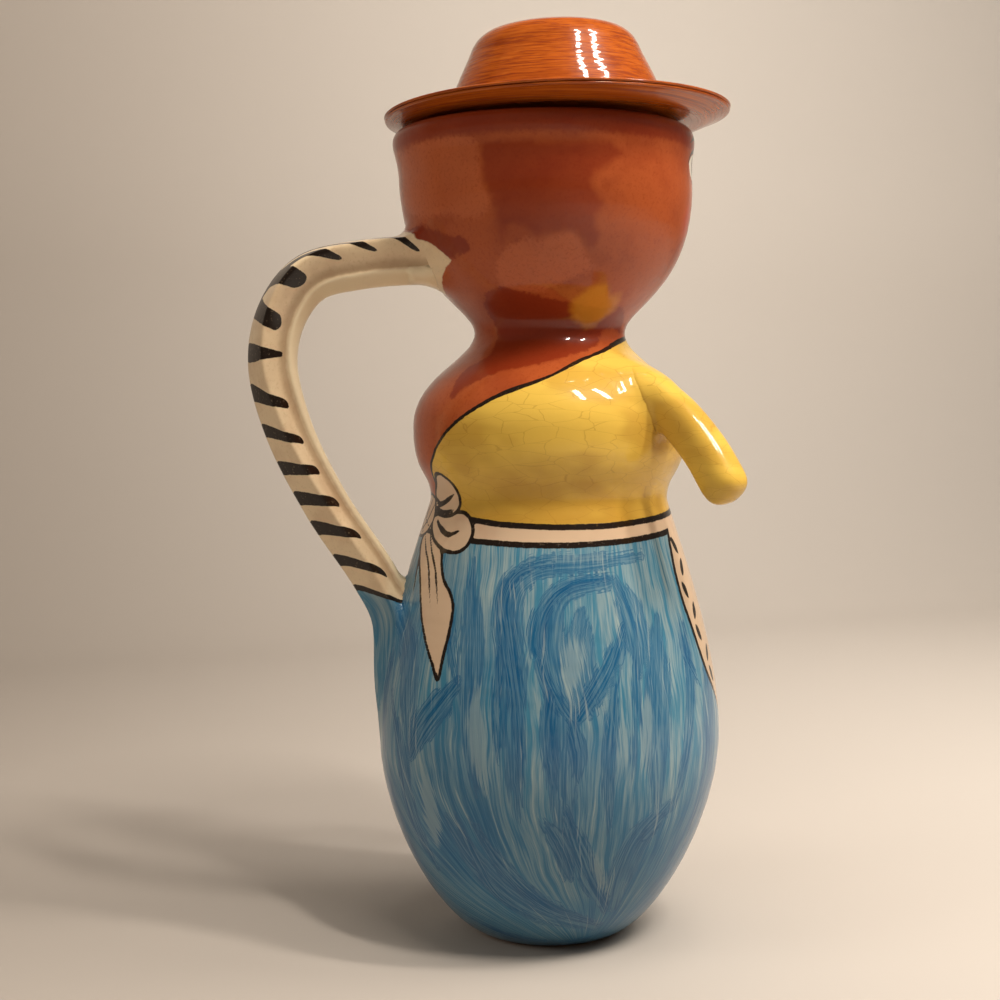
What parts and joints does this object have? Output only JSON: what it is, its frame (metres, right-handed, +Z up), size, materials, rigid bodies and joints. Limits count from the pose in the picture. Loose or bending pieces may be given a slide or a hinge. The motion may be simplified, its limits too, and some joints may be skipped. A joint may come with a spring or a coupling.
{
  "type": "pottery pitcher",
  "caption": "Hollow glazed pottery pitcher shaped as an aproned figure, with a strap handle at its back and a loose hat as its lid.",
  "frame": {"origin": "middle of the foot's flat underside", "axes": "+Z up along the figure's height, +X towards the figure's front, away from the handle"},
  "size_m": [0.1852, 0.1386, 0.3494],
  "materials": {
    "painted_glaze": "hand-painted under a clear gloss glaze: streaky blue skirt, yellow bodice, terracotta head, cream handle with black stripes",
    "hat_glaze": "orange-brown brushed colour under a clear gloss glaze"
  },
  "bodies": {
    "root": {"pitcher_body": "painted_glaze", "hat_lid": "hat_glaze"}
  },
  "joints": []
}
